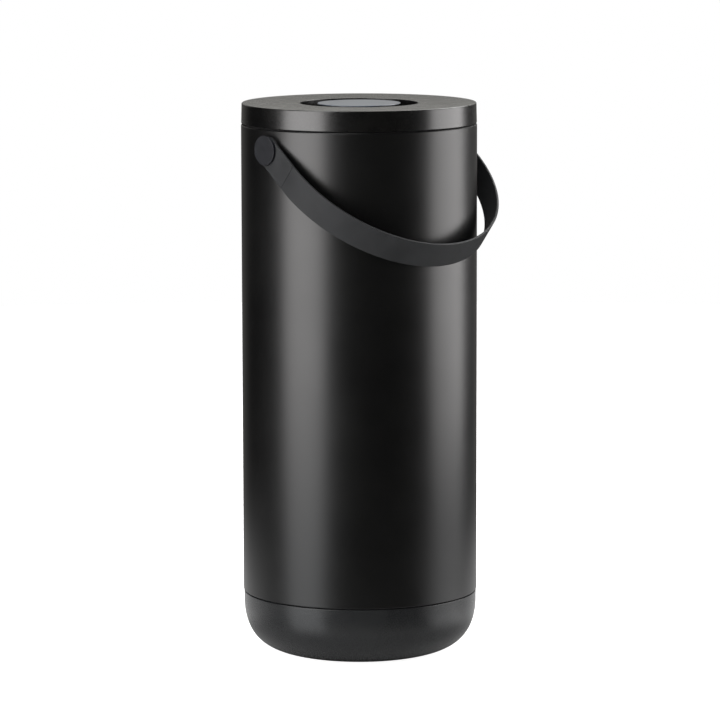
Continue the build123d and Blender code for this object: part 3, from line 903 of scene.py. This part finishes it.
boxes = studio["boxes"]
parts = (("Upper", boxes["split"], boxes["high"]), ("Lower", boxes["low"], boxes["split"]))
for name in ("leftBox", "rightBox"):
    box = studio[name]
    for part, width, level, tint in zip(parts, box["widths"], box["levels"], studio["tints"]):
        word, low, high = part
        centre, tall = (low + high) / 2, high - low
        panel = lamp(name + word, box["bearing"], boxes["distance"], centre, centre, width, tall, level)
        panel.data.color = tint
lamps = {name: lamp(name, *values) for name, values in studio["lamps"].items()}
lamps["topBox"].data.color = lamps["cardBehind"].data.color = studio["warm"]
lamps["fillBox"].visible_glossy = False


def towards(tree, place, degrees):
    # how far a place or a direction reaches along a bearing: a dot product
    node = tree.nodes.new("ShaderNodeVectorMath")
    node.operation = "DOT_PRODUCT"
    node.inputs[1].default_value = (*bearing(degrees), 0)
    tree.links.new(place, node.inputs[0])
    return node.outputs["Value"]


def glow(tree, strength):
    node = tree.nodes.new("ShaderNodeEmission")
    tree.links.new(strength, node.inputs["Strength"])
    return node.outputs[0]


def addShader(tree, a, b):
    node = tree.nodes.new("ShaderNodeAddShader")
    tree.links.new(a, node.inputs[0])
    tree.links.new(b, node.inputs[1])
    return node.outputs[0]


def mixShader(tree, factor, a, b):
    node = tree.nodes.new("ShaderNodeMixShader")
    tree.links.new(factor, node.inputs[0])
    tree.links.new(a, node.inputs[1])
    tree.links.new(b, node.inputs[2])
    return node.outputs[0]


# The room: white to the camera. In reflections it is dim, brighter behind the can and before it near
# the floor, with a soft window low behind the can.
world = bpy.data.worlds.new("room")
world.use_nodes = True
bpy.context.scene.world = world
tree = world.node_tree
direction = tree.nodes.new("ShaderNodeTexCoord").outputs["Generated"]
split = tree.nodes.new("ShaderNodeSeparateXYZ")
tree.links.new(direction, split.inputs[0])
upward, toCamera = split.outputs["Z"], towards(tree, direction, 0)
room = studio["room"]
rise = room["behindLevel"] - room["level"]
behind = sums(tree, "MULTIPLY", ramp(tree, toCamera, *room["behind"]), rise)
below = sums(tree, "MULTIPLY", ramp(tree, toCamera, *room["ahead"]), ramp(tree, upward, *room["below"]))
below = sums(tree, "MULTIPLY", below, room["belowLevel"])
level = sums(tree, "ADD", sums(tree, "ADD", behind, room["level"]), below)
window = studio["window"]
across = ramp(tree, toCamera, *(-cos(radians(degrees)) for degrees in window["azimuth"]))
pane = sums(tree, "MULTIPLY", across, ramp(tree, upward, *window["low"]))
pane = sums(tree, "MULTIPLY", pane, ramp(tree, upward, *window["high"]))
level = sums(tree, "ADD", level, sums(tree, "MULTIPLY", pane, window["level"]))
toEye = tree.nodes.new("ShaderNodeLightPath").outputs["Is Camera Ray"]
background = tree.nodes["Background"]
tree.links.new(mixColour(tree, toEye, studio["warm"], (1, 1, 1)), background.inputs["Color"])
tree.links.new(sums(tree, "MAXIMUM", level, toEye), background.inputs["Strength"])

# Floor: white paper that glows for the camera alone. Reflections see a painted glow on it only close to
# the can, with painted shade and a painted pool of light.
ground, paintedPaper, paintedPool = studio["floor"], studio["paper"], studio["paintedPool"]
bpy.ops.mesh.primitive_circle_add(vertices=ground["sides"], radius=ground["radius"], fill_type="NGON")
floor = bpy.context.active_object
floor.name = "floor"
floor.location.z = -ground["drop"]
floor.visible_shadow = False
paper = bpy.data.materials.new("paper")
paper.use_nodes = True
tree = paper.node_tree
tree.nodes.remove(tree.nodes["Principled BSDF"])
light = tree.nodes.new("ShaderNodeLightPath")
diffuse = tree.nodes.new("ShaderNodeBsdfDiffuse")
diffuse.inputs["Color"].default_value = (*[ground["grey"]] * 3, 1)
toEye = sums(tree, "MULTIPLY", light.outputs["Is Camera Ray"], ground["glow"])
seen = addShader(tree, diffuse.outputs[0], glow(tree, toEye))
position = tree.nodes.new("ShaderNodeTexCoord").outputs["Object"]
reachNode = tree.nodes.new("ShaderNodeVectorMath")
reachNode.operation = "LENGTH"
tree.links.new(position, reachNode.inputs[0])
reach = reachNode.outputs["Value"]
# the painted glow: dim near the can, brighter behind it
outward = ramp(tree, reach, *paintedPaper["turns"])
paintedFloorGlow = sums(tree, "ADD", sums(tree, "MULTIPLY", outward, paintedPaper["back"] - paintedPaper["near"]), paintedPaper["near"])
# painted shadow: the glow is taken away under the can
paintedFloorGlow = sums(tree, "MULTIPLY", paintedFloorGlow, ramp(tree, reach, *paintedPaper["under"]))
# it fades away outwards: before the can at once, beside and behind it further out, by
# r (1 - reach * beside)
beside = ramp(tree, sums(tree, "DIVIDE", towards(tree, position, 0), reach), *paintedPaper["beside"])
shrink = sums(tree, "SUBTRACT", 1.0, sums(tree, "MULTIPLY", beside, paintedPaper["reach"]))
shrunk = sums(tree, "MULTIPLY", reach, shrink)
atOnce = sums(tree, "MULTIPLY", outward, sums(tree, "SUBTRACT", 1.0, beside))
fade = sums(tree, "MAXIMUM", ramp(tree, shrunk, *paintedPaper["fades"]), atOnce)
clear = tree.nodes.new("ShaderNodeBsdfTransparent").outputs[0]
paintedReflection = mixShader(tree, fade, glow(tree, paintedFloorGlow), clear)
# painted light: a pool of light painted on the paper for reflections alone, before the can and,
# brighter, at its right: a ring with soft borders
rightward = sums(tree, "DIVIDE", towards(tree, position, paintedPool["bearing"]), reach)
paintedPoolLevel = sums(tree, "MULTIPLY", ramp(tree, rightward, *paintedPool["aside"]), paintedPool["right"])
paintedPoolLevel = sums(tree, "ADD", paintedPoolLevel, paintedPool["ahead"])
paintedPoolRing = sums(tree, "MULTIPLY", ramp(tree, reach, *paintedPool["starts"]), ramp(tree, reach, *paintedPool["ends"]))
paintedReflection = addShader(tree, paintedReflection, glow(tree, sums(tree, "MULTIPLY", paintedPoolLevel, paintedPoolRing)))
# glossy rays see the painted reflection, all other rays the white paper
surface = mixShader(tree, light.outputs["Is Glossy Ray"], seen, paintedReflection)
tree.links.new(surface, tree.nodes["Material Output"].inputs["Surface"])
floor.data.materials.append(paper)
floor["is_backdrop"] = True
print("studio is lit")

bpy.context.scene.view_settings.view_transform = "Standard"
low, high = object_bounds()
